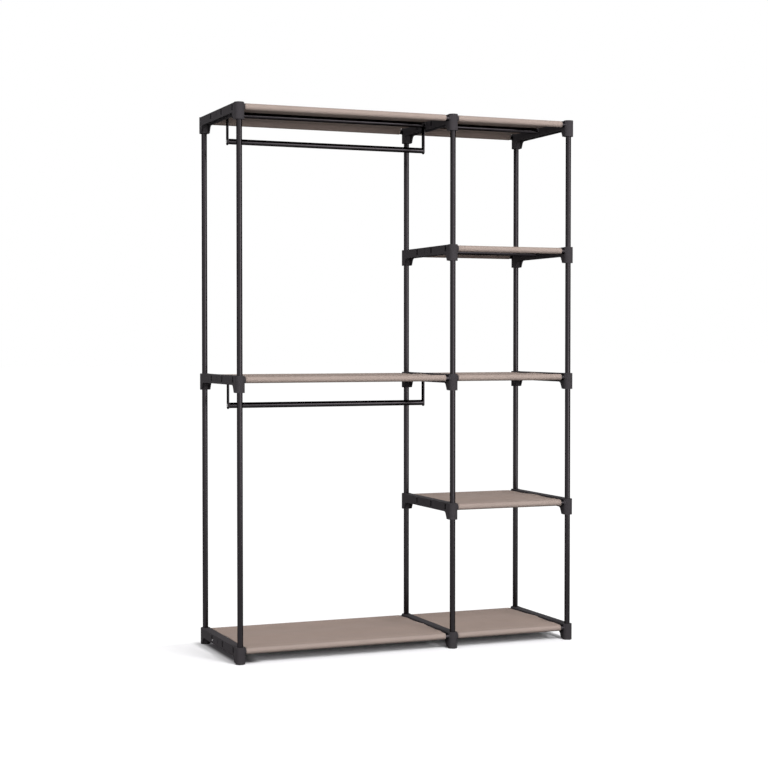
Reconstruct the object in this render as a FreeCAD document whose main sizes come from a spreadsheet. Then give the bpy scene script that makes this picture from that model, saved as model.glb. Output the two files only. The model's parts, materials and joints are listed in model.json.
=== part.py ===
"""Open frame wardrobe: a hanging bay with two rails beside a column of fabric shelves.

Steel tubes plug into moulded side frames. Three tubes carry each fabric shelf: the front and
rear ones run through sewn sleeves and the middle one supports the cloth from below.
X runs along the wardrobe, Y from the front to the rear, Z up from the floor, in millimetres.
"""
import FreeCAD
import Part
import Sketcher
import math
import os
import re

from collections import namedtuple

# Driving dimensions. Levels are counted from the floor frame, and a pitch joins tube axes.
SIZES = {
    "hanging_pitch": 760,
    "shelf_pitch": 445,
    "depth_pitch": 404,
    "level_pitch": 442.25,
    "tube_diameter": 19,
    "tube_wall": 0.7,
    "socket_diameter": 33,
    "socket_height": 56,
    "leg_width": 14.5,
    "arch_height": 8,
    "arch_reach": 13,
    "socket_rim": 1.1,
    "post_depth": 25,
    "post_clearance": 0.1,
    "bar_width": 32,
    "bar_height": 30.5,
    "bar_step": 0.5,
    "bar_wall": 2.5,
    "bar_edge": 2,
    "rib_thickness": 2,
    "rib_recess": 4,
    "axis_drop": 14,
    "collar_diameter": 21,
    "collar_reach": 17.5,
    "centre_diameter": 21,
    "centre_reach": 20.2,
    "peg_length": 25,
    "peg_clearance": 0.1,
    "peg_wall": 2.2,
    "window_width": 13,
    "window_height": 19,
    "window_lead": 27,
    "window_pitch": 122,
    "mark_diameter": 14,
    "mark_depth": 0.8,
    "foot_height": 3,
    "foot_inset": 0.2,
    "foot_spigot": 15,
    "fabric_thickness": 1.2,
    "sleeve_clearance": 0.3,
    "fabric_setback": 18,
    "fabric_draw": 2.5,
    "rail_draw": 7,
    "bracket_width": 21,
    "bracket_thickness": 3,
    "bracket_tail": 12.5,
    "eye_clearance": 0.1,
    "eye_rim": 4,
    "side_clearance": 0.3,
    "rail_drop": 90,
    "plug_flange": 2,
    "plug_length": 20,
    "screw_diameter": 6,
    "screw_clearance": 0.1,
    "screw_length": 18,
    "head_diameter": 12,
    "head_height": 3.4,
    "head_edge": 1.4,
    "cut_overrun": 5,
}

LEVELS = ("bottom", "lower", "middle", "upper", "top")
HANGING_LEVELS = ("bottom", "middle", "top")
RAIL_LEVELS = {"upper": "top", "lower": "middle"}
WINDOW_COUNT = 3

# Ribs across the underside of a bar, as shares of half the distance between post axes.
RIB_SHARES = (-0.74, -0.55, -0.14, 0.14, 0.55, 0.74)

# Slant of the arch's legs, as a share of their height.
LEAN_SHARE = 0.505

# Formulas of size names that several pieces share.
HALF_DEPTH = "(depth_pitch / 2)"
HALF_WIDTH = "((hanging_pitch + shelf_pitch) / 2)"
TUBE_RADIUS = "(tube_diameter / 2)"
BORE_RADIUS = f"({TUBE_RADIUS} + post_clearance)"
TUBE_AXIS = "(socket_height - axis_drop)"
BAR_TOP = "(socket_height - bar_step)"
BAR_BOTTOM = f"({BAR_TOP} - bar_height)"
PEG_RADIUS = f"({TUBE_RADIUS} - tube_wall - peg_clearance)"
EYE_GAP = "(bracket_thickness + 2 * side_clearance)"
SLEEVE_BORE = f"({TUBE_RADIUS} + sleeve_clearance)"
SLEEVE_RADIUS = f"({SLEEVE_BORE} + fabric_thickness)"
BRACKET_FACE = "(centre_reach + side_clearance + bracket_thickness)"
SCREW_BORE = "(screw_diameter / 2 + screw_clearance)"

COLUMNS = {
    "left": f"-{HALF_WIDTH}",
    "divider": f"(hanging_pitch - {HALF_WIDTH})",
    "right": HALF_WIDTH,
}
BAY_CENTRES = {
    "hanging": f"(hanging_pitch / 2 - {HALF_WIDTH})",
    "column": f"({HALF_WIDTH} - shelf_pitch / 2)",
}
BAY_PITCHES = {"hanging": "hanging_pitch", "column": "shelf_pitch"}

# A corner of an outline. The stretch that leaves it is an arc where a radius and a turn are given.
Corner = namedtuple("Corner", "x y radius turn reflex", defaults=(None, None, False))
LEFT_TURN = 1
RIGHT_TURN = -1

doc = FreeCAD.newDocument("open_frame_wardrobe")
sheet = doc.addObject("Spreadsheet::Sheet", "Sizes")
for row, (alias, value) in enumerate(SIZES.items(), start=1):
    sheet.set(f"A{row}", alias)
    sheet.set(f"B{row}", str(value))
    sheet.setAlias(f"B{row}", alias)
doc.recompute()

nodes = []


def bound(formula):
    """Write a formula of size names as an expression on the sheet."""
    return re.sub(r"\b([a-z_]+)\b(?!\()", r"Sizes.\1", formula)


def amount(formula):
    """Work a formula out with the sheet's present sizes."""
    return float(sheet.evalExpression(bound(formula)))


def level_height(level):
    """Formula of the height of a level's socket bottoms above the floor."""
    return f"({LEVELS.index(level)} * level_pitch)"


def new_body(label, x="0", y="0", z="0", half_turn=False):
    """Start a sub-part whose place is bound to the sheet."""
    body = doc.addObject("PartDesign::Body", label)
    body.Label = label
    body.AllowCompound = True
    if half_turn:
        body.Placement = FreeCAD.Placement(FreeCAD.Vector(), FreeCAD.Rotation(FreeCAD.Vector(0, 0, 1), 180))
    for axis, formula in zip("xyz", (x, y, z)):
        body.setExpression(f"Placement.Base.{axis}", bound(formula))
    nodes.append(body)
    return body


def origin_plane(body, role):
    """Find one of the body's own origin planes."""
    return next(plane for plane in body.Origin.OriginFeatures if plane.Role == role)


def sketch_on(body, role, name, lift="0", shift="0"):
    """Start a sketch on an origin plane, lifted along its normal and shifted along its first axis."""
    sketch = body.newObject("Sketcher::SketchObject", f"{body.Name}_{name}_sketch")
    sketch.AttachmentSupport = [(origin_plane(body, role), "")]
    sketch.MapMode = "FlatFace"
    sketch.setExpression("AttachmentOffset.Base.z", bound(lift))
    sketch.setExpression("AttachmentOffset.Base.x", bound(shift))
    return sketch


def drive(sketch, constraint, formula):
    """Add a constraint whose value follows a formula."""
    index = sketch.addConstraint(constraint)
    sketch.setExpression(f"Constraints[{index}]", bound(formula))


def pin_point(sketch, geometry, point, x, y):
    """Hold a point of a sketch at formulas of the sheet."""
    for kind, axis, formula in (("DistanceX", -2, x), ("DistanceY", -1, y)):
        if formula == "0":
            sketch.addConstraint(Sketcher.Constraint("PointOnObject", geometry, point, axis))
        else:
            drive(sketch, Sketcher.Constraint(kind, -1, 1, geometry, point, amount(formula)), formula)


def circle(sketch, x, y, radius):
    """Draw a circle."""
    centre = FreeCAD.Vector(amount(x), amount(y), 0)
    geometry = sketch.addGeometry(Part.Circle(centre, FreeCAD.Vector(0, 0, 1), amount(radius)))
    pin_point(sketch, geometry, 3, x, y)
    drive(sketch, Sketcher.Constraint("Radius", geometry, amount(radius)), radius)


def arc_between(start, end, radius, turn, reflex):
    """Arc from start to end that turns left or right, by less or more than half a circle."""
    chord = end - start
    side = turn * (-1 if reflex else 1)
    rise = math.sqrt(radius ** 2 - (chord.Length / 2) ** 2)
    across = FreeCAD.Vector(-chord.y, chord.x, 0).normalize()
    centre = (start + end) / 2 + across * rise * side
    first, last = (start, end) if turn == LEFT_TURN else (end, start)
    angles = [math.atan2(point.y - centre.y, point.x - centre.x) for point in (first, last)]
    return Part.ArcOfCircle(Part.Circle(centre, FreeCAD.Vector(0, 0, 1), radius), *angles)


def outline(sketch, corners):
    """Draw a closed outline through corners held at formulas."""
    points = [FreeCAD.Vector(amount(corner.x), amount(corner.y), 0) for corner in corners]
    stretches = []
    for index, corner in enumerate(corners):
        start, end = points[index], points[(index + 1) % len(points)]
        if corner.radius is None:
            geometry = sketch.addGeometry(Part.LineSegment(start, end))
            ends = (1, 2)
        else:
            arc = arc_between(start, end, amount(corner.radius), corner.turn, corner.reflex)
            geometry = sketch.addGeometry(arc)
            ends = (1, 2) if corner.turn == LEFT_TURN else (2, 1)
        stretches.append((geometry, ends))
    for index, (corner, (geometry, ends)) in enumerate(zip(corners, stretches)):
        following, following_ends = stretches[(index + 1) % len(stretches)]
        joint = Sketcher.Constraint("Coincident", geometry, ends[1], following, following_ends[0])
        sketch.addConstraint(joint)
        pin_point(sketch, geometry, ends[0], corner.x, corner.y)
        if corner.radius is not None:
            drive(sketch, Sketcher.Constraint("Radius", geometry, amount(corner.radius)), corner.radius)


def rectangle(sketch, x_low, y_low, x_high, y_high):
    """Draw a rectangle between two corners."""
    outline(sketch, [Corner(x_low, y_low), Corner(x_high, y_low), Corner(x_high, y_high), Corner(x_low, y_high)])


def extrusion(body, kind, sketch, name, length, symmetric=False, reverse=False):
    """Pad or pocket a sketch by a formula, both ways from its plane where it is symmetric."""
    feature = body.newObject(f"PartDesign::{kind}", f"{body.Name}_{name}")
    feature.Profile = sketch
    feature.SideType = "Symmetric" if symmetric else "One side"
    feature.Reversed = reverse
    feature.setExpression("Length", bound(length))
    return feature


def revolution(body, sketch, name, axis):
    """Turn a sketch full circle about one of its own axes."""
    feature = body.newObject("PartDesign::Revolution", f"{body.Name}_{name}")
    feature.Profile = sketch
    feature.ReferenceAxis = (sketch, [axis])
    return feature


def mirrored_ends(body, originals):
    """Repeat features at the other end of a bay."""
    mirror = body.newObject("PartDesign::Mirrored", f"{body.Name}_far_end")
    mirror.Originals = originals
    mirror.MirrorPlane = (origin_plane(body, "YZ_Plane"), [""])
    body.Tip = mirror


def bar_blank(body, base):
    """Bar of a side frame over a flat arch with slanted legs, with rounded top edges."""
    low = f"({base} + bar_step)"
    spring_height = f"({BAR_BOTTOM} - arch_height)"
    leg = f"({HALF_DEPTH} - leg_width)"
    spring = f"({leg} - {LEAN_SHARE} * ({spring_height} - {low}))"
    crown = f"({spring} - arch_reach)"
    arch = "((arch_reach * arch_reach + arch_height * arch_height) / (2 * arch_height))"
    sketch = sketch_on(body, "YZ_Plane", "side_view")
    outline(sketch, [
        Corner(f"-{HALF_DEPTH}", low),
        Corner(f"-{leg}", low),
        Corner(f"-{spring}", spring_height, arch, RIGHT_TURN),
        Corner(f"-{crown}", BAR_BOTTOM),
        Corner(crown, BAR_BOTTOM, arch, RIGHT_TURN),
        Corner(spring, spring_height),
        Corner(leg, low),
        Corner(HALF_DEPTH, low),
        Corner(HALF_DEPTH, BAR_TOP),
        Corner(f"-{HALF_DEPTH}", BAR_TOP),
    ])
    blank = extrusion(body, "Pad", sketch, "bar", "bar_width", symmetric=True)
    doc.recompute()
    top = amount(BAR_TOP)
    long_edges = [
        f"Edge{number}" for number, edge in enumerate(blank.Shape.Edges, start=1)
        if math.isclose(edge.BoundBox.ZMin, top) and edge.BoundBox.YLength > amount(HALF_DEPTH)
    ]
    rounding = body.newObject("PartDesign::Fillet", f"{body.Name}_top_edges")
    rounding.Base = (blank, long_edges)
    rounding.setExpression("Radius", bound("bar_edge"))


def bar_hollow(body, base):
    """Channel that is open below, with ribs across it."""
    inside = f"({HALF_DEPTH} - socket_diameter / 4)"
    ceiling = f"({BAR_TOP} - bar_wall)"
    sketch = sketch_on(body, "YZ_Plane", "channel")
    rectangle(sketch, f"-{inside}", f"({base} - cut_overrun)", inside, ceiling)
    extrusion(body, "Pocket", sketch, "channel", "bar_width - 2 * bar_wall", symmetric=True)
    ribs = sketch_on(body, "YZ_Plane", "ribs")
    for share in RIB_SHARES:
        place = f"({share} * {HALF_DEPTH})"
        low = f"({BAR_BOTTOM} + rib_recess)"
        high = f"({ceiling} + bar_wall / 2)"
        rectangle(ribs, f"({place} - rib_thickness / 2)", low, f"({place} + rib_thickness / 2)", high)
    extrusion(body, "Pad", ribs, "ribs", "bar_width - bar_wall", symmetric=True)


def sockets(body, base):
    """Round sockets on the post axes, with a rounded upper rim."""
    radius = "(socket_diameter / 2)"
    for name, shift in (("front", f"-{HALF_DEPTH}"), ("rear", HALF_DEPTH)):
        sketch = sketch_on(body, "YZ_Plane", f"{name}_socket", shift=shift)
        outline(sketch, [
            Corner("0", base),
            Corner(radius, base),
            Corner(radius, "(socket_height - socket_rim)", "socket_rim", LEFT_TURN),
            Corner(f"({radius} - socket_rim)", "socket_height"),
            Corner("0", "socket_height"),
        ])
        revolution(body, sketch, f"{name}_socket", "V_Axis")


def pegs(body, both_sides):
    """Collars that the shelf tubes butt against, and the hollow pegs that they slide over."""
    doubled = "2 * " if both_sides else ""
    ends = (f"-{HALF_DEPTH}", HALF_DEPTH)
    core = f"({PEG_RADIUS} - peg_wall)"
    groups = (
        ("sleeve", ends, "collar_diameter", "collar_reach", "(collar_reach + peg_length)"),
        ("centre", ("0",), "centre_diameter", "centre_reach", f"(centre_reach + {EYE_GAP} + peg_length)"),
    )
    for name, places, diameter, shoulder, reach in groups:
        collars = sketch_on(body, "YZ_Plane", f"{name}_collars")
        pins = sketch_on(body, "YZ_Plane", f"{name}_pegs")
        for place in places:
            circle(collars, place, TUBE_AXIS, f"({diameter} / 2)")
            circle(pins, place, TUBE_AXIS, PEG_RADIUS)
            circle(pins, place, TUBE_AXIS, core)
        extrusion(body, "Pad", collars, f"{name}_collars", doubled + shoulder, symmetric=both_sides)
        extrusion(body, "Pad", pins, f"{name}_pegs", doubled + reach, symmetric=both_sides)


def post_bores(body, base, closed_top):
    """Blind bores that the uprights, or the spigots of the feet, push into."""
    openings = [("lower", base, "(foot_spigot + post_clearance)" if base != "0" else "post_depth", True)]
    if not closed_top:
        openings.append(("upper", "socket_height", "post_depth", False))
    for name, lift, depth, upwards in openings:
        sketch = sketch_on(body, "XY_Plane", f"{name}_bores", lift=lift)
        for place in (f"-{HALF_DEPTH}", HALF_DEPTH):
            circle(sketch, "0", place, BORE_RADIUS)
        extrusion(body, "Pocket", sketch, f"{name}_bores", depth, reverse=upwards)


def outer_wall_windows(body, with_mark):
    """Windows through the outer wall, and the shallow round mark behind the centre peg."""
    face = "-(bar_width / 2)"
    sketch = sketch_on(body, "YZ_Plane", "windows", lift=face)
    for index in range(WINDOW_COUNT):
        middle = f"(window_lead + {index} * window_pitch - {HALF_DEPTH})"
        low = f"({TUBE_AXIS} - window_height / 2)"
        high = f"({TUBE_AXIS} + window_height / 2)"
        rectangle(sketch, f"({middle} - window_width / 2)", low, f"({middle} + window_width / 2)", high)
    extrusion(body, "Pocket", sketch, "windows", "bar_wall", reverse=True)
    if with_mark:
        mark = sketch_on(body, "YZ_Plane", "mark", lift=face)
        circle(mark, "0", TUBE_AXIS, "(mark_diameter / 2)")
        extrusion(body, "Pocket", mark, "mark", "mark_depth", reverse=True)


def side_frame(label, column, level, both_sides=False):
    """Moulded side frame: two sockets, the bar between them and the pegs for one or two bays."""
    base = "foot_height" if level == "bottom" else "0"
    body = new_body(label, COLUMNS[column], "0", level_height(level), half_turn=column == "right")
    bar_blank(body, base)
    bar_hollow(body, base)
    sockets(body, base)
    pegs(body, both_sides)
    post_bores(body, base, closed_top=level == "top")
    outer_wall_windows(body, with_mark=not both_sides)


def upright(label, column, y, level, spans):
    """Upright tube between the sockets of two levels."""
    foot = f"({level_height(level)} + socket_height - post_depth)"
    body = new_body(label, COLUMNS[column], y, foot)
    sketch = sketch_on(body, "XY_Plane", "section")
    circle(sketch, "0", "0", TUBE_RADIUS)
    circle(sketch, "0", "0", f"({TUBE_RADIUS} - tube_wall)")
    extrusion(body, "Pad", sketch, "tube", f"{spans} * level_pitch - socket_height + 2 * post_depth")


def shelf_tubes(label, bay, level, carries_rail):
    """Front, middle and rear tubes of one shelf, pushed over the pegs of two side frames."""
    body = new_body(label, BAY_CENTRES[bay], "0", f"({level_height(level)} + {TUBE_AXIS})")
    eyes = f"{EYE_GAP}" if carries_rail else "0"
    groups = (
        ("outer", (f"-{HALF_DEPTH}", HALF_DEPTH), "collar_reach"),
        ("middle", ("0",), f"(centre_reach + {eyes})"),
    )
    for name, places, reach in groups:
        sketch = sketch_on(body, "YZ_Plane", name)
        for place in places:
            circle(sketch, place, "0", TUBE_RADIUS)
            circle(sketch, place, "0", f"({TUBE_RADIUS} - tube_wall)")
        extrusion(body, "Pad", sketch, name, f"{BAY_PITCHES[bay]} - 2 * {reach}", symmetric=True)


def fabric_shelf(label, bay, level, draw):
    """Cloth shelf: one strip with a sewn sleeve along each long edge and side edges drawn inwards."""
    body = new_body(label, BAY_CENTRES[bay], "0", f"({level_height(level)} + {TUBE_AXIS})")
    low = f"({SLEEVE_RADIUS} - fabric_thickness)"
    tuck = f"({HALF_DEPTH} - sqrt(fabric_thickness * (2 * {SLEEVE_RADIUS} - fabric_thickness)))"
    section = sketch_on(body, "YZ_Plane", "section")
    outline(section, [
        Corner(f"-{HALF_DEPTH}", SLEEVE_RADIUS, SLEEVE_RADIUS, LEFT_TURN, True),
        Corner(f"-{tuck}", low),
        Corner(tuck, low, SLEEVE_RADIUS, LEFT_TURN, True),
        Corner(HALF_DEPTH, SLEEVE_RADIUS),
    ])
    for place in (f"-{HALF_DEPTH}", HALF_DEPTH):
        circle(section, place, "0", SLEEVE_BORE)
    extrusion(body, "Pad", section, "strip", f"{BAY_PITCHES[bay]} - 2 * fabric_setback", symmetric=True)
    edge = f"({BAY_PITCHES[bay]} / 2 - fabric_setback)"
    beyond = f"({edge} + cut_overrun)"
    reach = f"({HALF_DEPTH} - {SLEEVE_RADIUS})"
    sweep = f"(({reach} * {reach} + {draw} * {draw}) / (2 * {draw}))"
    sides = sketch_on(body, "XY_Plane", "drawn_sides")
    for sign, turn in (("", RIGHT_TURN), ("-", LEFT_TURN)):
        outline(sides, [
            Corner(f"{sign}{edge}", f"-{reach}", sweep, turn),
            Corner(f"{sign}{edge}", reach),
            Corner(f"{sign}{beyond}", reach),
            Corner(f"{sign}{beyond}", f"-{reach}"),
        ])
    extrusion(body, "Pocket", sides, "drawn_sides", f"4 * {SLEEVE_RADIUS}", symmetric=True)


def rail_bracket(label, x, axis_height):
    """Flat drop bracket: an eye that turns on a centre peg, a strip and a rounded lower end."""
    body = new_body(label, x, "0", axis_height)
    half = "(bracket_width / 2)"
    eye_bore = f"({PEG_RADIUS} + eye_clearance)"
    eye = f"({eye_bore} + eye_rim)"
    shoulder = f"-sqrt({eye} * {eye} - {half} * {half})"
    heel = f"-(rail_drop + sqrt(bracket_tail * bracket_tail - {half} * {half}))"
    sketch = sketch_on(body, "YZ_Plane", "strip")
    outline(sketch, [
        Corner(half, shoulder, eye, LEFT_TURN, True),
        Corner(f"-{half}", shoulder),
        Corner(f"-{half}", heel, "bracket_tail", LEFT_TURN),
        Corner(half, heel),
    ])
    circle(sketch, "0", "0", eye_bore)
    circle(sketch, "0", "-rail_drop", SCREW_BORE)
    extrusion(body, "Pad", sketch, "strip", "bracket_thickness", symmetric=True)


def hanging_rail(prefix, level):
    """Hanging rail on two drop brackets, with end plugs and screws."""
    axis_height = f"({level_height(level)} + {TUBE_AXIS})"
    rail_height = f"({axis_height} - rail_drop)"
    centre = BAY_CENTRES["hanging"]
    inner_face = f"(hanging_pitch / 2 - {BRACKET_FACE})"
    for side, column, sign in (("left", "left", "+"), ("right", "divider", "-")):
        x = f"({COLUMNS[column]} {sign} ({BRACKET_FACE} - bracket_thickness / 2))"
        rail_bracket(f"{prefix}_rail_bracket_{side}", x, axis_height)

    rail = new_body(f"{prefix}_hanging_rail", centre, "0", rail_height)
    section = sketch_on(rail, "YZ_Plane", "section")
    circle(section, "0", "0", TUBE_RADIUS)
    circle(section, "0", "0", f"({TUBE_RADIUS} - tube_wall)")
    extrusion(rail, "Pad", section, "tube", f"2 * ({inner_face} - plug_flange)", symmetric=True)

    plugs = new_body(f"{prefix}_rail_end_plugs", centre, "0", rail_height)
    parts = []
    for name, radius, length in (
        ("flange", TUBE_RADIUS, "plug_flange"),
        ("spigot", PEG_RADIUS, "(plug_flange + plug_length)"),
    ):
        sketch = sketch_on(plugs, "YZ_Plane", name, lift=f"-{inner_face}")
        circle(sketch, "0", "0", radius)
        circle(sketch, "0", "0", SCREW_BORE)
        parts.append(extrusion(plugs, "Pad", sketch, name, length))
    mirrored_ends(plugs, parts)

    screws = new_body(f"{prefix}_rail_screws", centre, "0", rail_height)
    head = "(head_diameter / 2)"
    crown = "(head_height - head_edge)"
    dome = f"(({head} * {head} + {crown} * {crown}) / (2 * {crown}))"
    sketch = sketch_on(screws, "XZ_Plane", "profile", shift=f"-({inner_face} + bracket_thickness)")
    outline(sketch, [
        Corner("-head_height", "0", dome, RIGHT_TURN),
        Corner("-head_edge", head),
        Corner("0", head),
        Corner("0", "(screw_diameter / 2)"),
        Corner("screw_length", "(screw_diameter / 2)"),
        Corner("screw_length", "0"),
    ])
    mirrored_ends(screws, [revolution(screws, sketch, "screw", "H_Axis")])


def foot_pads():
    """Feet under the floor sockets, with spigots that push into the sockets."""
    body = new_body("foot_pads")
    groups = (
        ("discs", "(socket_diameter / 2 - foot_inset)", "foot_height"),
        ("spigots", TUBE_RADIUS, "(foot_height + foot_spigot)"),
    )
    for name, radius, height in groups:
        sketch = sketch_on(body, "XY_Plane", name)
        for x in COLUMNS.values():
            for y in (f"-{HALF_DEPTH}", HALF_DEPTH):
                circle(sketch, x, y, radius)
        extrusion(body, "Pad", sketch, name, height)


def write_parts():
    """Check every object, then write each sub-part to its own file."""
    doc.recompute()
    failed = [item.Name for item in doc.Objects if {"Invalid", "Error"} & set(item.State)]
    if failed:
        raise RuntimeError(f"failed objects: {failed}")
    for node in nodes:
        if node.Shape.isNull() or not node.Shape.isValid():
            raise RuntimeError(f"bad shape: {node.Label}")
    os.makedirs("parts", exist_ok=True)
    for node in nodes:
        node.Shape.exportStep(f"parts/{node.Label}.step")
        print(f"{node.Label}: {len(node.Shape.Solids)} solids, {node.Shape.Volume:.0f} cubic millimetres")


for level in HANGING_LEVELS:
    side_frame(f"left_end_frame_{level}", "left", level)
for level in LEVELS:
    side_frame(f"divider_frame_{level}", "divider", level, both_sides=level in HANGING_LEVELS)
    side_frame(f"right_end_frame_{level}", "right", level)

for column, stops in (("left", HANGING_LEVELS), ("divider", LEVELS), ("right", LEVELS)):
    spans = (len(LEVELS) - 1) // (len(stops) - 1)
    for level in stops[:-1]:
        upright(f"upright_{column}_front_{level}", column, f"-{HALF_DEPTH}", level, spans)
        upright(f"upright_{column}_rear_{level}", column, HALF_DEPTH, level, spans)

for bay, stops in (("hanging", HANGING_LEVELS), ("column", LEVELS)):
    for level in stops:
        carries_rail = bay == "hanging" and level in RAIL_LEVELS.values()
        shelf_tubes(f"shelf_tubes_{bay}_{level}", bay, level, carries_rail)
        draw = "rail_draw" if carries_rail else "fabric_draw"
        fabric_shelf(f"fabric_shelf_{bay}_{level}", bay, level, draw)

for prefix, level in RAIL_LEVELS.items():
    hanging_rail(prefix, level)

foot_pads()
write_parts()
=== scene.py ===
"""Looks of the open frame wardrobe: coated tubes, grained mouldings and sewn cloth shelves.

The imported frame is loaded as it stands. Cloth shelves, their stitching and the rail screws are
new surfaces worked out with numpy, and every other node keeps its shape and gets a finish.
Lengths are in metres: X runs along the wardrobe, Y from front to rear, Z up from the floor.
"""
import json
import logging
import math
from dataclasses import dataclass, field
from enum import Enum, IntEnum
from typing import Any, Mapping, Union

import bpy
import numpy as np
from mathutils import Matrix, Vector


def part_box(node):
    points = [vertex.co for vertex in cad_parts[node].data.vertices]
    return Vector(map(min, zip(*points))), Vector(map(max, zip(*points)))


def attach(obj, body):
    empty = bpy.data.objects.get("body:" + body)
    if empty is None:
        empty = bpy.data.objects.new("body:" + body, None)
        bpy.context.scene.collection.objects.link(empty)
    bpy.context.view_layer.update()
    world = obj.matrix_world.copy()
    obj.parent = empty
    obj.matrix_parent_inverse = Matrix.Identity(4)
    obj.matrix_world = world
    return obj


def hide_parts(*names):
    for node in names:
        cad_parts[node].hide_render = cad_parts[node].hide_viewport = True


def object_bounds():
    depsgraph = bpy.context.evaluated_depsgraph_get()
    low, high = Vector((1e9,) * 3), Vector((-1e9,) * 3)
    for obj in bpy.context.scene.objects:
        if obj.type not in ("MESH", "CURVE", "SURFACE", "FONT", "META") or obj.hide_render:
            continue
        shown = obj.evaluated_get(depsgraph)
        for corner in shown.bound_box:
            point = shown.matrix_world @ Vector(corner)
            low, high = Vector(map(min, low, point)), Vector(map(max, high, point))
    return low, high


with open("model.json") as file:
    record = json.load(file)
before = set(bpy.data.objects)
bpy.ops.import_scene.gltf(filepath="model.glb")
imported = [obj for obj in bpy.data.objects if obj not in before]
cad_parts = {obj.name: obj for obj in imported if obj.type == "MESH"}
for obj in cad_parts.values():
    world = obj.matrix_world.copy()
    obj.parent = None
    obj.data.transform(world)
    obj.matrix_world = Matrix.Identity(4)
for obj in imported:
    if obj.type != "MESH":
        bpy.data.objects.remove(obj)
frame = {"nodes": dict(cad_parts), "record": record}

logging.basicConfig(level=logging.INFO, format="%(message)s")
log = logging.getLogger("wardrobe")

CAD_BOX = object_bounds()
TAU = 2.0 * math.pi
FREE_DRAW = 0.0025
RAIL_DRAW = 0.007

Array = np.ndarray
Colour = tuple[float, float, float]


class Slot(Enum):
    """Material slots of the record."""

    TUBE = "black_tube"
    PLASTIC = "frame_plastic"
    CLOTH = "shelf_fabric"
    RUBBER = "foot_rubber"
    ZINC = "screw_zinc"


class Side(Enum):
    """End of a bay, as the sign of its X direction from the middle of the bay."""

    LEFT = -1
    RIGHT = 1


class Lay(IntEnum):
    """How a stretch of a cloth strip lies."""

    ROUND_TUBE = 0
    ON_TOP = 1
    HEM = 2


class Reach(Enum):
    """Kind of surface that a lamp shows on."""

    MATT = "matt"
    GLOSS = "gloss"


class Signal:
    """A shader socket that adds Math nodes when it is used in an expression."""

    def __init__(self, shader: "Shader", socket: bpy.types.NodeSocket | None) -> None:
        """Wrap one output socket of a shader, or nothing for a node that has none."""
        self.shader = shader
        self.socket = socket

    def _math(self, operation: str, first: Any, second: Any) -> "Signal":
        """Join two values with a Math node."""
        return self.shader.node("ShaderNodeMath", {"operation": operation}, {0: first, 1: second})

    def __add__(self, other: Any) -> "Signal":
        """Add another value."""
        return self._math("ADD", self, other)

    def __radd__(self, other: Any) -> "Signal":
        """Add to another value."""
        return self._math("ADD", other, self)

    def __sub__(self, other: Any) -> "Signal":
        """Take another value away."""
        return self._math("SUBTRACT", self, other)

    def __rsub__(self, other: Any) -> "Signal":
        """Take this value from another."""
        return self._math("SUBTRACT", other, self)

    def __mul__(self, other: Any) -> "Signal":
        """Multiply by another value."""
        return self._math("MULTIPLY", self, other)

    def __rmul__(self, other: Any) -> "Signal":
        """Multiply another value."""
        return self._math("MULTIPLY", other, self)

    def least(self, other: Any) -> "Signal":
        """Smaller of two values."""
        return self._math("MINIMUM", self, other)

    def most(self, other: Any) -> "Signal":
        """Larger of two values."""
        return self._math("MAXIMUM", self, other)

    def ramp(self, low: float, high: float) -> "Signal":
        """Smooth step from 0 at low to 1 at high.

        Args:
            low: Value that gives 0.
            high: Value that gives 1. It may be below low, which turns the step round.

        Returns:
            The stepped value.
        """
        first, last = (low, high) if low < high else (high, low)
        step = self.shader.node(
            "ShaderNodeMapRange",
            {"interpolation_type": "SMOOTHSTEP"},
            {"Value": self, "From Min": first, "From Max": last},
        )
        return step if low < high else 1.0 - step


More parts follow.
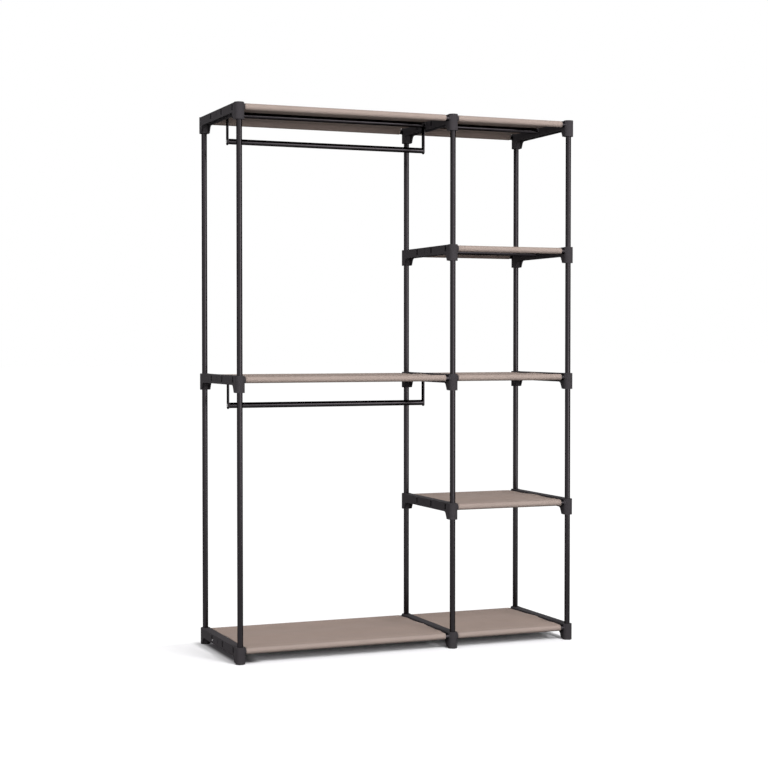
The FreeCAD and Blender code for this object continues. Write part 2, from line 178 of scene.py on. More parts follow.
class Shader:
    """Nodes of a material or of the world, written as Python expressions."""

    def __init__(self, owner: Union[bpy.types.Material, bpy.types.World]) -> None:
        """Start with an empty node tree.

        Args:
            owner: Material or world that the nodes belong to.
        """
        owner.use_nodes = True
        self.owner = owner
        self.tree = owner.node_tree
        self.tree.nodes.clear()

    @classmethod
    def material(cls, name: str) -> "Shader":
        """Nodes of a new material."""
        return cls(bpy.data.materials.new(name))

    def node(
        self,
        kind: str,
        settings: Mapping[str, Any] | None = None,
        inputs: Mapping[Any, Any] | None = None,
        output: Union[int, str] = 0,
    ) -> Signal:
        """Add a node, set it up and link it.

        Args:
            kind: Blender's name of the node type.
            settings: Properties that are set before the sockets are reached.
            inputs: Values or signals by socket name or number.
            output: Output socket that is returned.

        Returns:
            The output socket as a signal.
        """
        made = self.tree.nodes.new(kind)
        for name, value in (settings or {}).items():
            setattr(made, name, value)
        for key, value in (inputs or {}).items():
            if isinstance(value, Signal):
                self.tree.links.new(value.socket, made.inputs[key])
            else:
                made.inputs[key].default_value = value
        return Signal(self, made.outputs[output] if made.outputs else None)

    def place(self) -> Signal:
        """Object coordinates, which are the part's own frame."""
        return self.node("ShaderNodeTexCoord", output="Object")

    def surface_map(self) -> Signal:
        """UV map of the piece, in metres along the cloth and across it from its middle."""
        return self.node("ShaderNodeTexCoord", output="UV")

    def looked_at(self) -> Signal:
        """1 where the camera, a gloss or a clear surface looks, and 0 where the light is soft."""
        rays = ("Is Camera Ray", "Is Glossy Ray", "Is Transmission Ray")
        first, second, third = (self.node("ShaderNodeLightPath", output=ray) for ray in rays)
        return first.most(second).most(third)

    def noise(self, where: Signal, scale: float, detail: float = 2.0, rough: float = 0.5) -> Signal:
        """Fractal noise between 0 and 1.

        Args:
            where: Coordinates.
            scale: Features in a metre.
            detail: Octaves.
            rough: Weight of each finer octave.

        Returns:
            The noise value.
        """
        inputs = {"Vector": where, "Scale": scale, "Detail": detail, "Roughness": rough}
        return self.node("ShaderNodeTexNoise", {"noise_dimensions": "3D"}, inputs)

    def blend(self, share: Any, first: Any, second: Any) -> Signal:
        """Mix two colours by a share.

        Args:
            share: 0 gives the first colour and 1 the second.
            first: First colour.
            second: Second colour.

        Returns:
            The mixed colour.
        """
        colours = [(*c, 1.0) if isinstance(c, tuple) else c for c in (first, second)]
        inputs = {"Factor": share, 6: colours[0], 7: colours[1]}
        return self.node("ShaderNodeMix", {"data_type": "RGBA"}, inputs, output=2)

    def bump(self, height: Signal, depth: float, strength: float = 1.0) -> Signal:
        """Normal of a surface that a height in 0 to 1 raises.

        Args:
            height: Height as a share of the depth.
            depth: Depth of the relief in metres.
            strength: How much of it shows.

        Returns:
            The changed normal.
        """
        inputs = {"Strength": strength, "Distance": depth, "Height": height}
        return self.node("ShaderNodeBump", None, inputs)

    def finish(self, values: Mapping[str, Any]) -> bpy.types.Material:
        """Close the material with a principled surface.

        Args:
            values: Values or signals of the surface's sockets.

        Returns:
            The material.
        """
        surface = self.node("ShaderNodeBsdfPrincipled", None, values)
        self.node("ShaderNodeOutputMaterial", None, {"Surface": surface})
        return self.owner


@dataclass(frozen=True)
class PowderCoat:
    """Satin black powder coat on steel tube, with a fine orange peel."""

    name: str = "satin_black_powder_coat"
    dark: Colour = (0.0225, 0.0203, 0.0220)
    light: Colour = (0.0285, 0.0256, 0.0278)
    roughness: float = 0.20
    peel_per_metre: float = 620.0
    peel_depth: float = 0.000015

    def material(self) -> bpy.types.Material:
        """Coat colour, peel relief and a slow change of gloss."""
        shader = Shader.material(self.name)
        where = shader.place()
        cloud = shader.noise(where, 9.0, 3.0)
        speck = shader.noise(where, 1900.0, 1.0)
        peel = shader.noise(where, self.peel_per_metre, 2.0, 0.4)
        colour = shader.blend(cloud * 0.6 + speck * 0.4, self.dark, self.light)
        return shader.finish({
            "Base Color": colour,
            "Metallic": 1.0,
            "Specular Tint": (0.0, 0.0, 0.0, 1.0),
            "Roughness": self.roughness + 0.08 * (cloud - 0.5) + 0.03 * (speck - 0.5),
            "Normal": shader.bump(peel, self.peel_depth, 0.2),
        })


@dataclass(frozen=True)
class GrainedPlastic:
    """Black moulded plastic with a fine spark grain and a slightly polished bloom."""

    name: str = "grained_black_plastic"
    dark: Colour = (0.0300, 0.0272, 0.0295)
    light: Colour = (0.0405, 0.0367, 0.0399)
    roughness: float = 0.60
    grain_per_metre: float = 1150.0
    grain_depth: float = 0.00009

    def material(self) -> bpy.types.Material:
        """Grain relief, flow clouds in the colour and a grain that breaks the gloss."""
        shader = Shader.material(self.name)
        where = shader.place()
        cells = shader.node(
            "ShaderNodeTexVoronoi",
            {"feature": "F1"},
            {"Vector": where, "Scale": self.grain_per_metre, "Randomness": 1.0},
        )
        fine = shader.noise(where, 2600.0, 2.0)
        flow = shader.noise(where, 14.0, 4.0, 0.6)
        grain = cells * 0.7 + fine * 0.45
        colour = shader.blend(flow * 0.75 + fine * 0.25, self.dark, self.light)
        return shader.finish({
            "Base Color": colour,
            "Roughness": self.roughness + 0.12 * (flow - 0.5) + 0.10 * (fine - 0.5),
            "Specular IOR Level": 0.01,
            "Normal": shader.bump(grain, self.grain_depth, 0.6),
        })


@dataclass(frozen=True)
class BondedCloth:
    """Taupe bonded fabric: short felted fibres pressed together in a lattice of small points."""

    name: str = "taupe_bonded_cloth"
    dark: Colour = (0.204, 0.152, 0.127)
    light: Colour = (0.289, 0.221, 0.190)
    # painted light: paler colour on the sleeves, standing in for the stronger light on the rolls round the tubes
    painted_sleeve_light: Colour = (0.243, 0.217, 0.207)
    painted_sleeve_band: tuple[float, float] = (0.194, 0.212)
    point_pitch: float = 0.0022
    point_radius: float = 0.00052
    relief: float = 0.00016

    def lattice(self, shader: Shader, u: Signal, v: Signal, offset: float) -> Signal:
        """Distance from the nearest point of a square lattice, in metres.

        Args:
            shader: Shader that the nodes go into.
            u: Distance along the cloth in metres.
            v: Distance across the cloth in metres.
            offset: Share of the pitch by which the lattice is moved both ways.

        Returns:
            The distance, from the length of the two offsets within a cell.
        """
        steps = []
        for along in (u, v):
            cell = shader.node("ShaderNodeMath", {"operation": "FRACT"}, {0: along * (1 / self.point_pitch) + offset})
            steps.append((cell - 0.5) * self.point_pitch)
        squared = steps[0] * steps[0] + steps[1] * steps[1]
        return shader.node("ShaderNodeMath", {"operation": "SQRT"}, {0: squared})

    def material(self) -> bpy.types.Material:
        """Felted fibres, bond points, a slow change of tone and a painted paler tone round the tubes, which stands in
        for the stronger light that the rolls catch.
        """
        shader = Shader.material(self.name)
        laid = shader.surface_map()
        u = shader.node("ShaderNodeSeparateXYZ", None, {0: laid}, output=0)
        v = shader.node("ShaderNodeSeparateXYZ", None, {0: laid}, output=1)
        first = self.lattice(shader, u, v, 0.0)
        second = self.lattice(shader, u, v, 0.5)
        pressed = first.least(second).ramp(self.point_radius * 1.35, self.point_radius * 0.65)
        fibre = shader.noise(laid, 1500.0, 4.0, 0.7)
        fleck = shader.noise(laid, 420.0, 3.0, 0.6)
        tone = shader.noise(laid, 11.0, 3.0)
        share = 0.36 * fibre + 0.44 * fleck + 0.20 * tone - 0.10 * pressed
        # painted light: the sleeve band gets a share of the paler colour, in place of the brighter light that the
        # rolls catch
        sleeve = v.most(-1.0 * v).ramp(*self.painted_sleeve_band)
        felt = shader.blend(share.ramp(0.22, 0.74), self.dark, self.light)
        height = 0.35 * fibre + 0.15 * fleck + 0.60 * (1.0 - pressed)
        return shader.finish({
            "Base Color": shader.blend(sleeve * 0.35, felt, self.painted_sleeve_light),
            "Roughness": 0.90 - 0.14 * pressed - 0.06 * (fibre - 0.5),
            "Normal": shader.bump(height, self.relief, 0.55),
            "Sheen Weight": 0.04,
            "Sheen Roughness": 0.45,
            "Specular IOR Level": 0.10,
        })


@dataclass(frozen=True)
class SewingThread:
    """Spun thread, a shade lighter than the cloth."""

    name: str = "taupe_sewing_thread"
    dark: Colour = (0.300, 0.232, 0.198)
    light: Colour = (0.430, 0.345, 0.302)

    def material(self) -> bpy.types.Material:
        """Fine change of tone along the twist."""
        shader = Shader.material(self.name)
        twist = shader.noise(shader.place(), 2400.0, 2.0)
        return shader.finish({
            "Base Color": shader.blend(twist, self.dark, self.light),
            "Roughness": 0.62 + 0.16 * (twist - 0.5),
            "Normal": shader.bump(twist, 0.00008, 0.5),
        })


@dataclass(frozen=True)
class ZincPlate:
    """Dulled zinc plate on steel screws."""

    name: str = "dulled_zinc_plate"
    dark: Colour = (0.22, 0.22, 0.23)
    light: Colour = (0.36, 0.36, 0.36)

    def material(self) -> bpy.types.Material:
        """Cloudy plate with fine turning marks."""
        shader = Shader.material(self.name)
        where = shader.place()
        cloud = shader.noise(where, 260.0, 3.0)
        mark = shader.noise(where, 3200.0, 2.0)
        return shader.finish({
            "Base Color": shader.blend(cloud, self.dark, self.light),
            "Metallic": 1.0,
            "Roughness": 0.27 + 0.14 * (cloud - 0.5) + 0.08 * (mark - 0.5),
            "Normal": shader.bump(mark, 0.00003, 0.4),
        })


@dataclass(frozen=True)
class FootRubber:
    """Dull black rubber of the feet."""

    name: str = "dull_foot_rubber"
    dark: Colour = (0.0070, 0.0070, 0.0070)
    light: Colour = (0.0150, 0.0148, 0.0145)

    def material(self) -> bpy.types.Material:
        """Dusty bloom over a dull surface."""
        shader = Shader.material(self.name)
        where = shader.place()
        bloom = shader.noise(where, 90.0, 4.0, 0.6)
        grit = shader.noise(where, 1700.0, 2.0)
        return shader.finish({
            "Base Color": shader.blend(bloom, self.dark, self.light),
            "Roughness": 0.72 + 0.16 * (bloom - 0.5),
            "Normal": shader.bump(grit, 0.0001, 0.5),
        })


@dataclass(frozen=True)
class StudioFloor:
    """Pale floor that keeps the shadow near the part, has a painted shadow under its left bar, and fades to white
    away from it.
    """

    name: str = "pale_studio_floor"
    near: Colour = (0.90, 0.89, 0.91)
    # colour of the painted shadow under the left end bar
    under: Colour = (0.16, 0.15, 0.16)
    far: Colour = (0.06, 0.06, 0.06)
    bounce: Colour = (0.06, 0.06, 0.06)
    half_width: float = 0.60
    half_depth: float = 0.20
    contact: float = 0.04
    fade: float = 0.09
    left_share: float = 0.24
    right_share: float = 1.8
    front_share: float = 0.25
    rear_share: float = 1.5
    rim_white: float = 0.2
    # fades of the painted shadow under the left end bar
    painted_shadow_inner_fade: tuple[float, float] = (-0.09, -0.04)
    painted_shadow_outer_fade: tuple[float, float] = (0.022, -0.002)
    painted_shadow_end_fade: tuple[float, float] = (0.01, -0.03)

    def outside(self, shader: Shader) -> tuple[Signal, Signal, Signal, Signal]:
        """Distances that a place lies outside the footprint on each side.

        Args:
            shader: Shader that the nodes go into.

        Returns:
            Distances to the left, the right, the front and the rear, below 0 on the inner side.
        """
        where = shader.place()
        x = shader.node("ShaderNodeSeparateXYZ", None, {0: where}, output=0)
        y = shader.node("ShaderNodeSeparateXYZ", None, {0: where}, output=1)
        left, right = -1.0 * x - self.half_width, x - self.half_width
        front, rear = -1.0 * y - self.half_depth, y - self.half_depth
        return left, right, front, rear

    def material(self) -> bpy.types.Material:
        """Diffuse floor near the part, a painted shadow under its left bar, and the backdrop's white further off.

        The white has a narrow step at the footprint's rim and then grows with the distance from
        it, in which each side counts by its own share, so that the shadow reaches furthest to
        the left and to the front.
        """
        shader = Shader.material(self.name)
        seen = shader.looked_at()
        left, right, front, rear = self.outside(shader)
        along = left.most(0.0) * self.left_share + right.most(0.0) * self.right_share
        across = front.most(0.0) * self.front_share + rear.most(0.0) * self.rear_share
        away = shader.node("ShaderNodeMath", {"operation": "SQRT"}, {0: along * along + across * across})
        side, end = left.most(right), front.most(rear)
        rim = side.most(end).ramp(0.0, self.contact)
        white = self.rim_white * rim + (1.0 - self.rim_white) * away.ramp(0.0, self.fade)
        # painted shadow: a mask that darkens the floor under the left end bar
        under = left.ramp(*self.painted_shadow_inner_fade) * left.ramp(*self.painted_shadow_outer_fade) * end.ramp(*self.painted_shadow_end_fade)
        pale = shader.blend(white, shader.blend(under, self.near, self.under), self.far)
        return shader.finish({
            "Base Color": shader.blend(seen, self.bounce, pale),
            "Roughness": 0.9,
            "Specular IOR Level": 0.0,
            "Emission Color": shader.blend(seen * white, (0.0, 0.0, 0.0), (1.0, 1.0, 1.0)),
            "Emission Strength": 1.0,
        })


class Batch:
    """Grids of points that become one mesh."""

    def __init__(self) -> None:
        """Start with nothing."""
        self.points: list[Array] = []
        self.quads: list[Array] = []
        self.maps: list[Array] = []
        self.count = 0

    def grid(self, points: Array, laid: Array | None = None, closed: tuple[bool, bool] = (False, False)) -> None:
        """Add one grid of points, or a stack of them.

        Args:
            points: Array of shape (rows, columns, 3) or (copies, rows, columns, 3).
            laid: Coordinates on the cloth in metres, shape (..., rows, columns, 2).
            closed: Whether the last row joins the first, and the last column the first.
        """
        stack = points if points.ndim == 4 else points[None]
        copies, rows, columns = stack.shape[:3]
        number = np.arange(copies * rows * columns).reshape(copies, rows, columns) + self.count
        if closed[0]:
            number = np.concatenate([number, number[:, :1]], axis=1)
        if closed[1]:
            number = np.concatenate([number, number[:, :, :1]], axis=2)
        corners = (number[:, :-1, :-1], number[:, 1:, :-1], number[:, 1:, 1:], number[:, :-1, 1:])
        self.quads.append(np.stack([c.ravel() for c in corners], axis=1))
        self.points.append(stack.reshape(-1, 3))
        flat = np.zeros((*stack.shape[:3], 2)) if laid is None else laid
        self.maps.append(np.broadcast_to(flat, (*stack.shape[:3], 2)).reshape(-1, 2))
        self.count += copies * rows * columns

    def build(self, name: str) -> bpy.types.Object:
        """Put all grids into one smooth mesh object at the origin.

        Args:
            name: Name of the object.

        Returns:
            The object, linked to the scene.
        """
        points = np.concatenate(self.points).astype(np.float32)
        quads = np.concatenate(self.quads).astype(np.int32)
        laid = np.concatenate(self.maps).astype(np.float32)
        mesh = bpy.data.meshes.new(name)
        mesh.vertices.add(len(points))
        mesh.vertices.foreach_set("co", points.ravel())
        mesh.loops.add(quads.size)
        mesh.loops.foreach_set("vertex_index", quads.ravel())
        mesh.polygons.add(len(quads))
        mesh.polygons.foreach_set("loop_start", np.arange(0, quads.size, 4, dtype=np.int32))
        mesh.polygons.foreach_set("use_smooth", np.ones(len(quads), dtype=bool))
        layer = mesh.uv_layers.new(name="laid")
        layer.data.foreach_set("uv", laid[quads.ravel()].ravel())
        mesh.update(calc_edges=True)
        mesh.validate()
        piece = bpy.data.objects.new(name, mesh)
        bpy.context.scene.collection.objects.link(piece)
        return piece


def smooth(value: Array, low: float, high: float) -> Array:
    """Smooth step of an array from 0 at low to 1 at high.

    Args:
        value: Values.
        low: Value that gives 0.
        high: Value that gives 1.

    Returns:
        The stepped array.
    """
    share = np.clip((value - low) / (high - low), 0.0, 1.0)
    return share * share * (3.0 - 2.0 * share)


def travelled(first: Array, second: Array) -> Array:
    """Distance along a line of points given by two coordinates.

    Args:
        first: First coordinates.
        second: Second coordinates.

    Returns:
        The running length, from 0.
    """
    return np.concatenate([[0.0], np.cumsum(np.hypot(np.diff(first), np.diff(second)))])


def finish_piece(piece: bpy.types.Object, material: bpy.types.Material, body: str) -> None:
    """Give a new piece its finish and the body that it moves with.

    Args:
        piece: New piece.
        material: Finish.
        body: Body that carries the piece.
    """
    piece.data.materials.append(material)
    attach(piece, body)
    log.info("%s: %d points, on %s", piece.name, len(piece.data.vertices), body)


@dataclass
class FabricShelf:
    """Cloth shelf: one strip whose front and rear edges are sewn into sleeves round two tubes."""

    bay: str
    level: str
    seed: int
    cloth: float = 0.001
    ease: float = 0.0002
    seam_reach: float = 0.018
    flap: float = 0.011
    sag: float = 0.0022
    draw: float = FREE_DRAW
    short: float = 0.011
    hem_width: float = 0.012
    hem_cloth: float = 0.0008
    hem_lift: float = 0.0008
    stitch_inset: float = 0.0045
    stitch_pitch: float = 0.0034
    stitch_length: float = 0.0025
    thread: float = 0.00032
    step_along: float = 0.006
    wave_height: float = 0.00011
    gather_height: float = 0.00022
    waves: dict[str, Array] = field(default_factory=dict)

    def __post_init__(self) -> None:
        """Read the place of the shelf and its tubes from the frame."""
        self.node = f"fabric_shelf_{self.bay}_{self.level}"
        self.tubes = f"shelf_tubes_{self.bay}_{self.level}"
        cloth_low, cloth_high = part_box(self.node)
        tube_low, tube_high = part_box(self.tubes)
        self.left, self.right = cloth_low.x, cloth_high.x
        self.tube = (tube_high.z - tube_low.z) / 2
        self.axis = (tube_high.z + tube_low.z) / 2
        self.half = tube_high.y - self.tube
        self.round = self.tube + self.ease + self.cloth
        chance = np.random.default_rng(self.seed)
        turn = chance.uniform(0, TAU, 14)
        length = chance.uniform(0.05, 0.19, 14)
        self.waves = {
            "x": np.cos(turn) * TAU / length,
            "y": np.sin(turn) * TAU / length,
            "phase": chance.uniform(0, TAU, 14),
            "gather": chance.uniform(0, TAU, 4),
        }

    def edge(self, y: Array, side: Side) -> Array:
        """Place of a side edge along the shelf.

        Both edges are drawn in as a parabola between the sleeves. On the right the sleeves
        also end short of the frame, and a smooth step leads the edge back behind them.

        Args:
            y: Places across the shelf.
            side: Side of the edge.

        Returns:
            The places of the edge.
        """
        drawn = self.draw * np.clip(1.0 - (y / (self.half - self.round)) ** 2, 0.0, None)
        if side is Side.LEFT:
            return self.left + drawn
        return self.right - drawn - self.short * (1.0 - smooth(self.half - np.abs(y), 0.012, 0.070))

    def top(self, x: Array, y: Array) -> Array:
        """Height of the cloth's upper face.

        Between tubes it sags as a squared sine. Low waves are a sum of sines in all directions.
        Gathers are two sines along the seam whose phase wanders, faded by a bell curve across
        it, and the seam itself is pinched by a narrower one. The side hems lift the cloth where
        they cross the middle tube.

        Args:
            x: Places along the shelf.
            y: Places across the shelf.

        Returns:
            The heights.
        """
        inwards = self.half - np.abs(y)
        sag = self.sag * np.sin(math.pi * np.clip(inwards / self.half, 0.0, 1.0)) ** 2
        spread = smooth(inwards, 0.0, 0.05)
        phase = x[..., None] * self.waves["x"] + y[..., None] * self.waves["y"] + self.waves["phase"]
        wave = self.wave_height * np.sin(phase).sum(axis=-1) * spread
        seam = inwards - self.seam_reach - self.stitch_inset
        first, second, third, fourth = self.waves["gather"]
        wander = 1.8 * np.sin(x * 21.0 + first) + 1.1 * np.sin(x * 47.0 + second + y)
        pucker = 0.65 * np.sin(x * 285.0 + wander + third) + 0.35 * np.sin(x * 431.0 - wander + fourth)
        gather = self.gather_height * pucker * np.exp(-(seam / 0.020) ** 2)
        pinch = 0.00045 * np.exp(-(seam / 0.0028) ** 2)
        side = np.minimum(x - self.edge(y, Side.LEFT), self.edge(y, Side.RIGHT) - x)
        lift = self.hem_lift * np.exp(-(y / 0.020) ** 2) * (1.0 - smooth(side, 0.010, 0.040))
        rest = np.where(inwards > 0.0, wave + gather - pinch - sag, 0.0) + lift
        return self.axis + self.round + rest

    def profile(self) -> tuple[Array, Array, Array]:
        """Half of the strip's outline, from the hem under the cloth to the middle of the shelf.

        The hem lies under the cloth up to the seam, runs straight to the tube, goes round it
        as an arc and leaves it at the top.

        Returns:
            Places across the shelf, heights over the tube axis, and how the strip lies there.
        """
        under = 2.0 * self.cloth + 0.0001
        seam_y, seam_z = self.seam_reach, self.round - under - 0.0004
        away = math.hypot(seam_y, seam_z)
        leave = math.atan2(seam_z, seam_y) - math.acos(self.round / away)
        turn = np.linspace(leave, -1.5 * math.pi, 34)
        hem_y = np.linspace(seam_y + self.flap, seam_y, 6)
        rise = np.linspace(0.0, 1.0, 6)[1:-1]
        rise_y = seam_y + (self.round * math.cos(leave) - seam_y) * rise
        rise_z = seam_z + (self.round * math.sin(leave) - seam_z) * rise
        span_y = self.half * (1.0 - np.cos(np.linspace(0.0, math.pi / 2, 34)[1:])) ** 0.9
        y = np.concatenate([hem_y, rise_y, self.round * np.cos(turn), span_y])
        z = np.concatenate([np.full(6, seam_z), rise_z, self.round * np.sin(turn), np.full(33, self.round)])
        lay = np.repeat([Lay.HEM, Lay.ROUND_TUBE, Lay.ON_TOP], [6, 4 + 34, 33])
        return y - self.half, z, lay

    def strip(self) -> bpy.types.Object:
        """The cloth itself, as its outer face with the thickness added inwards.

        Returns:
            The cloth.
        """
        half_y, half_z, half_lay = self.profile()
        y = np.concatenate([half_y, -half_y[-2::-1]])
        z = np.concatenate([half_z, half_z[-2::-1]])
        lay = np.concatenate([half_lay, half_lay[-2::-1]])
        count = int(round((self.right - self.left) / self.step_along))
        along = np.linspace(0.0, 1.0, count + 1)[:, None]
        x = (1.0 - along) * self.edge(y, Side.LEFT) + along * self.edge(y, Side.RIGHT)
        wide_y = np.broadcast_to(y, x.shape)
        top = self.top(x, wide_y)
        under = top - 2.0 * self.cloth - 0.0001
        height = np.select([lay == Lay.ON_TOP, lay == Lay.HEM], [top, under], self.axis + z)
        points = np.stack([x, wide_y, height], axis=-1)
        run = travelled(y, z)
        laid = np.stack([x, np.broadcast_to(run - run[-1] / 2, x.shape)], axis=-1)
        batch = Batch()
        batch.grid(points, laid)
        piece = batch.build(f"cloth_{self.bay}_{self.level}")
        wall = piece.modifiers.new("cloth", "SOLIDIFY")
        wall.thickness = self.cloth
        wall.offset = -1.0
        wall.use_even_offset = True
        return piece

    def side_hems(self) -> bpy.types.Object:
        """Folded hems under the two free side edges: a flat rounded section carried along the edge.

        Returns:
            Both hems as one piece.
        """
        reach = self.half - self.seam_reach - self.flap - 0.003
        y = np.linspace(-reach, reach, 61)
        turn = np.linspace(0.0, TAU, 16, endpoint=False)
        across = 0.5 + 0.5 * np.sign(np.cos(turn)) * np.abs(np.cos(turn)) ** 0.35
        deep = 0.5 - 0.5 * np.sign(np.sin(turn)) * np.abs(np.sin(turn)) ** 0.7
        ends = smooth(reach - np.abs(y), -0.0001, 0.004)
        batch = Batch()
        for side in Side:
            x = self.edge(y, side)[:, None] - side.value * (0.0004 + self.hem_width * across)
            wide_y = np.broadcast_to(y[:, None], x.shape)
            face = self.top(x, wide_y) - self.cloth - 0.00005
            height = face - self.hem_cloth * deep * ends[:, None]
            points = np.stack([x, wide_y, height], axis=-1)
            laid = np.stack([np.broadcast_to(across * self.hem_width, x.shape), wide_y], axis=-1)
            if side is Side.RIGHT:
                points, laid = points[::-1], laid[::-1]
            batch.grid(points, laid, closed=(False, True))
        return batch.build(f"side_hems_{self.bay}_{self.level}")

    def stitches(self, x: Array, y: Array, height: Array, batch: Batch) -> None:
        """Lay a row of stitches along a line of points on the cloth.

        Each stitch is a short round thread whose ends dip below the face: its height over the
        face is the square root of a parabola along its length.

        Args:
            x: Places of the line along the shelf.
            y: Places of the line across the shelf.
            height: Heights of the line.
            batch: Grids that the stitches join.
        """
        line = np.stack([x, y, height], axis=-1)
        run = np.concatenate([[0.0], np.cumsum(np.linalg.norm(np.diff(line, axis=0), axis=1))])
        middle = np.arange(self.stitch_pitch, run[-1] - self.stitch_pitch, self.stitch_pitch)
        share = np.linspace(-0.5, 0.5, 5)
        turn = np.linspace(0.0, TAU, 6, endpoint=False)
        places = middle[:, None] + share * self.stitch_length
        spine = np.stack([np.interp(places, run, line[:, i]) for i in range(3)], axis=-1)
        heading = spine[:, -1] - spine[:, 0]
        heading = heading / np.linalg.norm(heading, axis=1, keepdims=True)
        sideways = np.stack([-heading[:, 1], heading[:, 0], np.zeros(len(heading))], axis=1)
        arch = np.sqrt(np.clip(1.0 - (2.0 * share) ** 2, 0.0, 1.0))
        radius = self.thread * (0.25 + 0.75 * arch)
        up = 0.7 * self.thread * (2.0 * arch - 1.0)
        ring_side = radius[:, None] * np.cos(turn)
        ring_up = radius[:, None] * np.sin(turn) + up[:, None]
        points = spine[:, :, None] + sideways[:, None, None] * ring_side[None, :, :, None]
        points = points + np.array([0.0, 0.0, 1.0]) * ring_up[None, :, :, None]
        batch.grid(points, closed=(False, True))

    def stitching(self) -> bpy.types.Object:
        """Rows of stitches along the sleeve seams and the side hems.

        Returns:
            All stitches of the shelf as one piece.
        """
        batch = Batch()
        fine = np.linspace(0.0, 1.0, 400)
        seam = self.half - self.seam_reach - self.stitch_inset
        for sign in (-1.0, 1.0):
            y = np.full(fine.shape, sign * seam)
            first, last = self.edge(y, Side.LEFT) + 0.003, self.edge(y, Side.RIGHT) - 0.003
            x = first + (last - first) * fine
            self.stitches(x, y, self.top(x, y), batch)
            self.stitches(x, y, self.top(x, y) - 2.0 * self.cloth - 0.0001, batch)
        reach = seam - 0.004
        y = reach * (2.0 * fine - 1.0)
        for side in Side:
            x = self.edge(y, side) - side.value * 0.75 * self.hem_width
            self.stitches(x, y, self.top(x, y), batch)
        return batch.build(f"stitching_{self.bay}_{self.level}")

    def flat_size(self) -> tuple[float, float]:
        """Size that the cloth was cut to.

        Returns:
            Length along the bay and length across it, once round both sleeves.
        """
        y, z, _ = self.profile()
        return self.right - self.left, 2.0 * float(travelled(y, z)[-1])

    def build(self) -> None:
        """Make the cloth, its hems and its stitches."""
        self.cloth_strip = self.strip()
        self.hems = self.side_hems()
        self.sewing = self.stitching()

    def dress(self, cloth: bpy.types.Material, thread: bpy.types.Material) -> None:
        """Args:
            cloth: Finish of the cloth.
            thread: Finish of the stitches.
        """
        for piece, material in ((self.cloth_strip, cloth), (self.hems, cloth), (self.sewing, thread)):
            finish_piece(piece, material, "frame")
        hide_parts(self.node)
        self.flat_size()


@dataclass
class RailScrews:
    """Pan head screws that hold a hanging rail to its brackets, with a cross recess."""

    rail: str
    arm_half: float = 0.00062
    arm_reach: float = 0.0031
    recess: float = 0.0017
    edge_round: float = 0.0006
    spokes: int = 120

    def __post_init__(self) -> None:
        """Read the screws' sizes from the frame."""
        low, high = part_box(f"{self.rail}_rail_screws")
        left_low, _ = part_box(f"{self.rail}_rail_bracket_left")
        _, right_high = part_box(f"{self.rail}_rail_bracket_right")
        self.seats = {Side.LEFT: left_low.x, Side.RIGHT: right_high.x}
        self.crowns = {Side.LEFT: low.x, Side.RIGHT: high.x}
        self.axis = (low.z + high.z) / 2
        self.head = (high.z - low.z) / 2
        self.shank = self.head / 2
        plug_low, plug_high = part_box(f"{self.rail}_rail_end_plugs")
        self.reach = min(0.014, (plug_high.x - plug_low.x) / 4)

    def section(self, height: float) -> tuple[Array, Array]:
        """Half section of a screw, from the middle of its crown to the tip of its shank.

        The crown is a parabola, the rim is rounded, and the shank runs straight to a cone.

        Args:
            height: Height of the head.

        Returns:
            Distances out of the seat and radii.
        """
        rim = height * 0.42
        radius = self.head * np.linspace(0.0, 1.0, 40)
        crown = rim + (height - rim) * (1.0 - (radius / self.head) ** 2)
        turn = np.linspace(0.0, math.pi / 2, 6)[1:]
        rim_out = rim - self.edge_round * (1.0 - np.cos(turn)) - (rim - self.edge_round) * (turn > 1.5)
        rim_radius = np.full(5, self.head)
        shank_out = np.array([0.0, 0.0, -self.reach, -self.reach - 0.0015])
        shank_radius = np.array([self.shank * 1.05, self.shank, self.shank, 0.0])
        return np.concatenate([crown, rim_out, shank_out]), np.concatenate([radius, rim_radius, shank_radius])

    def recess_depth(self, radius: Array, turn: Array) -> Array:
        """Depth of the cross recess: two crossing arms with sloping walls that rise outwards.

        Args:
            radius: Radii.
            turn: Angles about the screw.

        Returns:
            The depths.
        """
        first, second = np.abs(radius * np.cos(turn)), np.abs(radius * np.sin(turn))
        wall = self.arm_half * 0.55
        arms = [
            (1.0 - smooth(across, self.arm_half - wall / 2, self.arm_half + wall))
            * (1.0 - smooth(along, self.arm_reach * 0.78, self.arm_reach))
            for along, across in ((first, second), (second, first))
        ]
        slope = 1.0 - 0.45 * np.clip(radius / self.arm_reach, 0.0, 1.0)
        return self.recess * slope * np.maximum(arms[0], arms[1])

    def build(self) -> None:
        """Make both screws of the rail: the section turned about the rail's axis."""
        batch = Batch()
        turn = np.linspace(0.0, TAU, self.spokes, endpoint=False)
        for side, seat in self.seats.items():
            out, radius = self.section(abs(self.crowns[side] - seat))
            cut = self.recess_depth(radius[:, None], turn[None, :])
            cut[40:] = 0.0
            x = seat + side.value * (out[:, None] - cut)
            y = radius[:, None] * np.cos(turn)
            z = self.axis + radius[:, None] * np.sin(turn)
            points = np.stack(np.broadcast_arrays(x, y, z), axis=-1)
            batch.grid(points if side is Side.LEFT else points[:, ::-1], closed=(False, True))
        self.screws = batch.build(f"{self.rail}_rail_cross_screws")

    def dress(self, material: bpy.types.Material) -> None:
        """Finish the screws and put them in the place of the plain ones.

        Args:
            material: Finish.
        """
        finish_piece(self.screws, material, f"{self.rail}_rail")
        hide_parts(f"{self.rail}_rail_screws")


@dataclass
class RigidPieces:
    """Pieces of the frame that keep their shape and only get a finish."""

    finishes: Mapping[Slot, bpy.types.Material]

    def dress(self) -> None:
        """Put the finish of its slot on every node of the frame."""
        slots = {part["node"]: Slot(part["material_slot"]) for part in frame["record"]["subparts"]}
        for name, piece in frame["nodes"].items():
            piece.data.materials.clear()
            piece.data.materials.append(self.finishes[slots[name]])
            log.info("%s: %s", name, self.finishes[slots[name]].name)


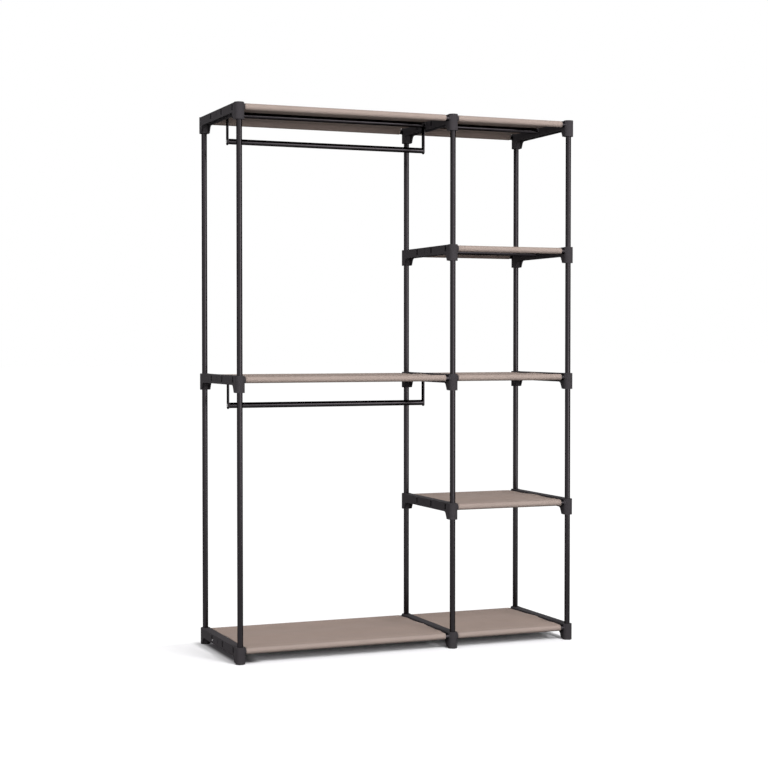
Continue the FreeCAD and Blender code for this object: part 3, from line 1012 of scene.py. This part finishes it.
@dataclass(frozen=True)
class Lamp:
    """Soft rectangular lamp that points at the middle of the part."""

    name: str
    reach: Reach
    power: float
    size: tuple[float, float]
    place: tuple[float, float, float]

    def build(self) -> None:
        """Hang the lamp and set the kind of surface that it shows on."""
        light = bpy.data.lights.new(self.name, "AREA")
        light.shape = "RECTANGLE"
        light.size, light.size_y = self.size
        light.energy = self.power
        lamp = bpy.data.objects.new(self.name, light)
        middle = (np.array(CAD_BOX[0]) + np.array(CAD_BOX[1])) / 2
        away = np.array(self.place) - middle
        flat = math.hypot(away[0], away[1])
        lamp.location = self.place
        lamp.rotation_euler = (math.atan2(flat, away[2]), 0.0, math.atan2(away[0], -away[1]))
        lamp.visible_camera = False
        lamp.visible_diffuse = self.reach is Reach.MATT
        lamp.visible_glossy = self.reach is Reach.GLOSS
        bpy.context.scene.collection.objects.link(lamp)
        log.info("%s: %.0f W on %s surfaces", self.name, self.power, self.reach.value)


@dataclass
class Studio:
    """Pale floor, soft lamps and the camera at the viewing angle of the picture."""

    image_width: float = 768.0
    focal_pixels: float = 1658.88
    sensor: float = 36.0
    eye: tuple[float, float, float] = (-2.2128, -5.3562, 1.0535)
    yaw_degrees: float = 22.324
    pitch_degrees: float = -1.490
    floor_half: float = 60.0
    ambient: float = 0.25
    lamps: tuple[Lamp, ...] = (
        Lamp("key_lamp", Reach.MATT, 325.0, (1.5, 3.0), (1.06, -4.57, 4.32)),
        Lamp("edge_fill", Reach.MATT, 120.0, (2.0, 2.0), (2.2, -4.7, 1.8)),
        Lamp("front_lamp", Reach.MATT, 110.0, (2.0, 2.0), (-2.0, -5.6, 1.3)),
        Lamp("left_panel", Reach.MATT, 155.0, (4.0, 3.0), (-4.6, -1.6, 1.7)),
        Lamp("rear_fill", Reach.MATT, 90.0, (2.5, 2.5), (3.6, 3.6, 1.75)),
        Lamp("rail_shine", Reach.GLOSS, 35.0, (3.0, 3.0), (1.06, -4.57, 4.32)),
        Lamp("post_shine", Reach.GLOSS, 120.0, (1.8, 3.0), (2.0, -4.6, 1.1)),
        Lamp("front_shine", Reach.GLOSS, 50.0, (7.0, 3.0), (-1.9, -4.3, 1.2)),
    )

    def floor(self, material: bpy.types.Material) -> None:
        """Lay the floor, a flat grid at height zero.

        Args:
            material: Finish.
        """
        reach = np.linspace(-self.floor_half, self.floor_half, 3)
        x, y = np.meshgrid(reach, reach, indexing="ij")
        batch = Batch()
        batch.grid(np.stack([x, y, np.zeros_like(x)], axis=-1))
        ground = batch.build("studio_floor")
        ground.data.materials.append(material)

    def world(self) -> None:
        """White backdrop for what looks at it directly, and an even soft light for the rest."""
        shader = Shader(bpy.data.worlds.new("white_studio"))
        bpy.context.scene.world = shader.owner
        strength = self.ambient + (1.0 - self.ambient) * shader.looked_at()
        sky = shader.node("ShaderNodeBackground", None, {"Color": (1.0, 1.0, 1.0, 1.0), "Strength": strength})
        shader.node("ShaderNodeOutputWorld", None, {"Surface": sky})

    def camera(self) -> None:
        """Set the camera."""
        data = bpy.data.cameras.new("picture_view")
        data.sensor_width = self.sensor
        data.sensor_fit = "HORIZONTAL"
        data.lens = self.focal_pixels / self.image_width * self.sensor
        data.clip_end = 200.0
        camera = bpy.data.objects.new("picture_view", data)
        camera.location = self.eye
        pitch = math.radians(90.0 + self.pitch_degrees)
        camera.rotation_euler = (pitch, 0.0, -math.radians(self.yaw_degrees))
        bpy.context.scene.collection.objects.link(camera)
        bpy.context.scene.camera = camera

    def build(self, floor_finish: bpy.types.Material) -> None:
        """Set up the whole studio.

        Args:
            floor_finish: Finish of the floor.
        """
        self.camera()
        self.world()
        self.floor(floor_finish)
        for lamp in self.lamps:
            lamp.build()
        bpy.context.scene.view_settings.view_transform = "Standard"


def main() -> None:
    """Build the studio, dress the frame and add the cloth and the screws."""
    finishes = {
        Slot.TUBE: PowderCoat().material(),
        Slot.PLASTIC: GrainedPlastic().material(),
        Slot.CLOTH: BondedCloth().material(),
        Slot.RUBBER: FootRubber().material(),
        Slot.ZINC: ZincPlate().material(),
    }
    thread = SewingThread().material()
    Studio().build(StudioFloor().material())
    RigidPieces(finishes).dress()
    bays = {"hanging": ("bottom", "middle", "top"), "column": ("bottom", "lower", "middle", "upper", "top")}
    places = [(bay, level) for bay, levels in bays.items() for level in levels]
    for seed, (bay, level) in enumerate(places):
        carries_rail = bay == "hanging" and level != "bottom"
        shelf = FabricShelf(bay, level, seed, draw=RAIL_DRAW if carries_rail else FREE_DRAW)
        shelf.build()
        shelf.dress(finishes[Slot.CLOTH], thread)
    for rail in ("upper", "lower"):
        screws = RailScrews(rail)
        screws.build()
        screws.dress(finishes[Slot.ZINC])


if __name__ == "__main__":
    main()
